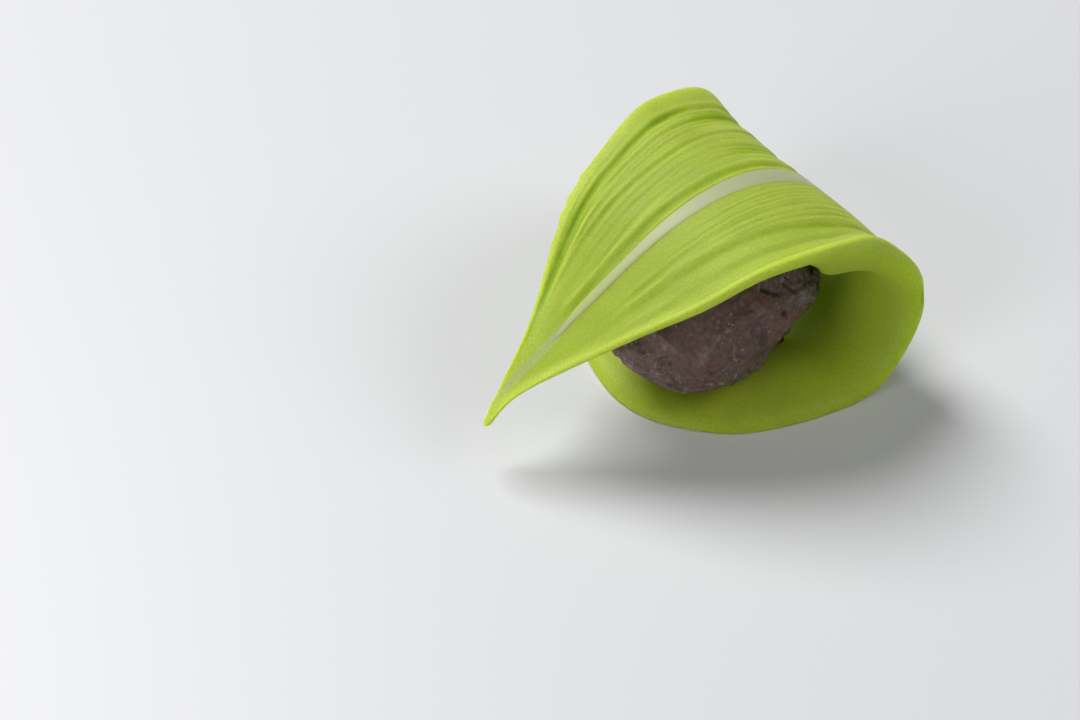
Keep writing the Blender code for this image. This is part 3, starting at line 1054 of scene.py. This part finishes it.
def make_mark():
    inputs = {"From": ("Vector",), "To": ("Vector",), "Radius": ("Float",), "Depth": ("Float",)}
    tree, given, result = new_tree("mark", inputs, {"Depth": ("Float",)})
    here = position(tree)
    span = vector(tree, "SUBTRACT", given["To"], given["From"])
    reach = vector(tree, "SUBTRACT", here, given["From"])
    reached = vector(tree, "DOT_PRODUCT", reach, span)
    share = calc(tree, "DIVIDE", reached, vector(tree, "DOT_PRODUCT", span, span))
    share = calc(tree, "MINIMUM", calc(tree, "MAXIMUM", share, 0.0), 1.0)
    nearest = vector(tree, "ADD", given["From"], vector(tree, "SCALE", span, share))
    away = calc(tree, "DIVIDE", vector(tree, "DISTANCE", here, nearest), given["Radius"])
    own_size = vector(tree, "SCALE", here, calc(tree, "DIVIDE", FRAYS, given["Radius"]))
    ragged = product(tree, away, varied(tree, noise_of(tree, own_size, 1.0, 3.0), *RAGGED))
    groove = calc(tree, "EXPONENT", product(tree, ragged, ragged, -1.0))
    plug(tree, product(tree, groove, given["Depth"]), result["Depth"])
    return tree


mark = make_mark()

# %% All marks, cracks and flecks
CELL_SIZE = 5 * MM
CELL_BEND = 0.9  # how crooked the cells are,
CELL_BEND_SIZE = 3 * MM  # and over what length
CRACK_WIDTH = 0.10  # of a cell
FLECKS_FROM = 1.0 * MM  # above the floor
FLECK_SMALLEST = (0.5, 0.4, 0.3)
FLECK_LARGEST = (1.8, 1.1, 0.8)


def add_marks(tree):
    """The depth of all dents of the form, and of all marks that the material paints with shade or highlight.
    """
    dents, marks = 0.0, 0.0
    for start, end, radius, depth in MARKS:
        values = {
            "From": Vector(start) * MM,
            "To": Vector(end) * MM,
            "Radius": radius * MM,
            "Depth": depth * MM,
        }
        groove = node(tree, "GeometryNodeGroup", values, node_tree=mark).outputs[0]
        if radius > BROAD_MARK:
            dents = calc(tree, "ADD", groove, dents)
        else:
            marks = calc(tree, "ADD", groove, marks)
    return dents, marks


def add_cracks(tree, here, patchy, depth):
    """The depth of the cracks, along the borders of crooked cells."""
    place = vector(tree, "SCALE", here, 1 / CELL_BEND_SIZE)
    bend = node(tree, "ShaderNodeTexNoise", {"Vector": place, "Scale": 1.0}).outputs["Color"]
    bend = vector(tree, "SCALE", bend, CELL_BEND)
    bent = vector(tree, "ADD", vector(tree, "SCALE", here, 1 / CELL_SIZE), bend)
    cells = node(tree, "ShaderNodeTexVoronoi", {"Vector": bent, "Scale": 1.0}, feature="DISTANCE_TO_EDGE")
    crack = step(tree, cells.outputs["Distance"], 0.0, CRACK_WIDTH, 1.0, 0.0)
    return product(tree, crack, patchy, depth)


def scatter_flecks(tree, given, paste, height):
    """Small pale crumbs, scattered where the paste is above the floor."""
    values = {
        "Mesh": paste,
        "Selection": calc(tree, "GREATER_THAN", height, calc(tree, "ADD", given["Floor"], FLECKS_FROM)),
        "Density": given["Flecks per Square Metre"],
        "Seed": given["Seed"],
    }
    spots = node(tree, "GeometryNodeDistributePointsOnFaces", values).outputs
    values = {"Radius": given["Fleck Size"], "Subdivisions": 2}
    fleck = node(tree, "GeometryNodeMeshIcoSphere", values).outputs["Mesh"]
    values = {"Min": FLECK_SMALLEST, "Max": FLECK_LARGEST}
    size = node(tree, "FunctionNodeRandomValue", values, data_type="FLOAT_VECTOR").outputs[0]
    values = {"Points": spots["Points"], "Instance": fleck, "Rotation": spots["Rotation"], "Scale": size}
    flecks = node(tree, "GeometryNodeInstanceOnPoints", values).outputs[0]
    real = node(tree, "GeometryNodeRealizeInstances", {"Geometry": flecks}).outputs[0]
    return store(tree, real, "fleck", 1.0)


# %% The tree that breaks the egg's surface
PATCH_SIZE = 7 * MM
CRUMB_SIZE = 0.8 * MM
DEEP = 0.5 * MM  # a mark this deep counts as 1 for the material


def make_crumble():
    inputs = {
        "Geometry": ("Geometry",),
        "Crack Depth": ("Float", 0.25 * MM),
        "Crumb Height": ("Float", 0.50 * MM),
        "Flecks per Square Metre": ("Float", 140000.0),
        "Fleck Size": ("Float", 0.16 * MM),
        "Floor": ("Float", 0.0),
        "Paste": ("Material",),
        "Seed": ("Int", 7),
    }
    tree, given, result = new_tree("crumble", inputs, {"Geometry": ("Geometry",)})
    here = position(tree)
    dents, marks = add_marks(tree)
    patchy = step(tree, noise_of(tree, here, PATCH_SIZE, 1.0), 0.42, 0.62)
    deep = calc(tree, "ADD", marks, add_cracks(tree, here, patchy, given["Crack Depth"]))
    crumbs = calc(tree, "SUBTRACT", noise_of(tree, here, CRUMB_SIZE, 4.0, 0.65), 0.5)
    crumbs = product(tree, crumbs, given["Crumb Height"], step(tree, patchy, 0.0, 1.0, 0.5, 1.3))
    height = calc(tree, "SUBTRACT", crumbs, calc(tree, "ADD", deep, dents))

    stored = store(tree, given["Geometry"], "deep", product(tree, deep, 1 / DEEP))
    normal = node(tree, "GeometryNodeInputNormal").outputs[0]
    moved = move(tree, stored, Offset=vector(tree, "SCALE", normal, height))
    place = separate(tree, position(tree))
    level = calc(tree, "MAXIMUM", place["Z"], given["Floor"])
    bedded = move(tree, moved, Position=combine(tree, X=place["X"], Y=place["Y"], Z=level))

    joined = node(tree, "GeometryNodeJoinGeometry")
    for part in (bedded, scatter_flecks(tree, given, bedded, place["Z"])):
        tree.links.new(part, joined.inputs[0])
    finish_tree(tree, joined.outputs[0], given["Paste"], result)
    return tree


# %% The paste's material
PASTE = (0.132, 0.075, 0.062, 1.0)
PASTE_RED = (0.180, 0.066, 0.046, 1.0)
# The paste's own grey patches, and a painted highlight on raised marks
PASTE_GREY_AND_SHEEN = (0.198, 0.140, 0.122, 1.0)
PASTE_BLOOM = (0.260, 0.230, 0.205, 1.0)
# Painted shade: the near black in cracks and narrow gashes
PASTE_HOLLOW_SHADE = (0.040, 0.025, 0.019, 1.0)
FLECK = (0.38, 0.31, 0.28, 1.0)
RED_SIZE = 4 * MM
GREY_SIZE = 2.5 * MM
DRY_SIZE = 5.5 * MM
BLOOM_SIZE = 0.9 * MM
PALE_SIZE = 1.0 * MM
MOTTLE_SIZE = 0.7 * MM
MOIST_SIZE = 1.2 * MM
COARSE_SIZE = 0.5 * MM
FINE_SIZE = 0.18 * MM
PASTE_GRAIN = 0.12 * MM


def make_paste():
    material, tree, shader = new_material("bean_paste")
    here = on_object(tree)
    deep, fleck = attribute(tree, "deep"), attribute(tree, "fleck")
    colour = blend(tree, step(tree, noise_of(tree, here, RED_SIZE, 3.0), 0.53, 0.73), PASTE, PASTE_RED)
    colour = blend(tree, step(tree, noise_of(tree, here, GREY_SIZE, 4.0), 0.50, 0.78), colour, PASTE_GREY_AND_SHEEN)
    # Painted highlight: ridges and the knob turn grey where light catches them
    colour = blend(tree, step(tree, deep, 0.0, -1.2, 0.0, 0.95), colour, PASTE_GREY_AND_SHEEN)
    dried = step(tree, noise_of(tree, here, DRY_SIZE, 1.0), 0.50, 0.62)
    bloom = step(tree, noise_of(tree, here, BLOOM_SIZE, 3.0), 0.52, 0.68, 0.0, 0.75)
    colour = blend(tree, product(tree, dried, bloom), colour, PASTE_BLOOM)
    # Painted shade: cracks and narrow gashes go dark the deeper they are
    colour = blend(tree, step(tree, deep, 0.1, 1.0, 0.0, 0.9), colour, PASTE_HOLLOW_SHADE)
    pale = product(tree, fleck, step(tree, noise_of(tree, here, PALE_SIZE), 0.40, 0.60))
    colour = blend(tree, pale, colour, FLECK)
    mottled = varied(tree, noise_of(tree, here, MOTTLE_SIZE, 3.0, 0.6), 0.72, 1.26)
    plug(tree, vector(tree, "SCALE", colour, mottled), shader.inputs["Base Color"])

    moist = step(tree, noise_of(tree, here, MOIST_SIZE, 3.0), 0.35, 0.65, 0.42, 0.62)
    plug(tree, calc(tree, "MULTIPLY_ADD", fleck, -0.22, moist), shader.inputs["Roughness"])
    coarse = noise_of(tree, here, COARSE_SIZE, 4.0, 0.7)
    grain = calc(tree, "ADD", coarse, noise_of(tree, here, FINE_SIZE, 3.0, 0.7))
    plug(tree, bump(tree, grain, PASTE_GRAIN, 0.9), shader.inputs["Normal"])
    return material


paste = make_paste()
run_tree(lump, make_crumble(), {"Floor": FLOOR_OF_LUMP, "Paste": paste})

# %% [markdown]
# ## Tying the pieces to the frame
#
# Every piece rides on the one rigid body, and stands for the plain CAD solid that it replaces.

# %% Riding and replacing
for piece, replaced, slot in (
    (leaf, "leaf", "green_dough"),
    (vein, "vein", "white_dough"),
    (lump, "bean_paste", "dark_bean_paste"),
):
    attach(piece, "root")
    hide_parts(replaced)

# %% [markdown]
# ## Floor, light and camera
#
# The sweet is shown on a plain pale surface, by a large soft window behind it and a dimmer panel on each
# side, in a nearly dark room. Shadows are soft and fall towards the camera.

# %% The floor
FLOOR_COLOUR = (0.76, 0.765, 0.78, 1.0)


def make_floor(size):
    mesh = bpy.data.meshes.new("floor")
    bm = bmesh.new()
    bmesh.ops.create_grid(bm, x_segments=1, y_segments=1, size=size / 2)
    bm.to_mesh(mesh)
    bm.free()
    material, _, shader = new_material("pale_floor")
    shader.inputs["Base Color"].default_value = FLOOR_COLOUR
    shader.inputs["Roughness"].default_value = 0.45
    mesh.materials.append(material)
    return new_object("floor", mesh)


floor = make_floor(size=6.0)

# %% Light
PANEL_SIZE = 0.9
ROOM_COLOUR = (0.95, 0.97, 1.0, 1.0)
ROOM_STRENGTH = 0.03


def area_light(name, place, power):
    """A round panel that faces the sweet."""
    light = bpy.data.lights.new(name, "AREA")
    light.shape = "DISK"
    light.size = PANEL_SIZE
    light.energy = power
    obj = new_object(name, light)
    obj.location = place
    obj.rotation_euler = (-Vector(place)).to_track_quat("-Z", "Y").to_euler()


area_light("window", (-0.16, 0.91, 1.18), 21.5)
area_light("left_panel", (-1.37, -0.24, 0.56), 7.4)
area_light("right_panel", (0.88, -0.74, 0.96), 6.0)
world = bpy.data.worlds.new("room")
bpy.context.scene.world = world
world.use_nodes = True
background = world.node_tree.nodes["Background"]
background.inputs["Color"].default_value = ROOM_COLOUR
background.inputs["Strength"].default_value = ROOM_STRENGTH
bpy.context.scene.view_settings.view_transform = "Standard"

# %% Camera
def make_camera(place, pitch, turn, lens):
    camera = bpy.data.cameras.new("camera")
    camera.lens = lens
    camera.sensor_width = 36.0
    camera.clip_start = 0.01
    obj = new_object("camera", camera)
    obj.location = place
    obj.rotation_euler = Euler((math.radians(pitch), 0.0, math.radians(turn)))
    bpy.context.scene.camera = obj


make_camera(place=(-0.1630, -0.1836, 0.2120), pitch=48.2, turn=-35.0, lens=70.13)
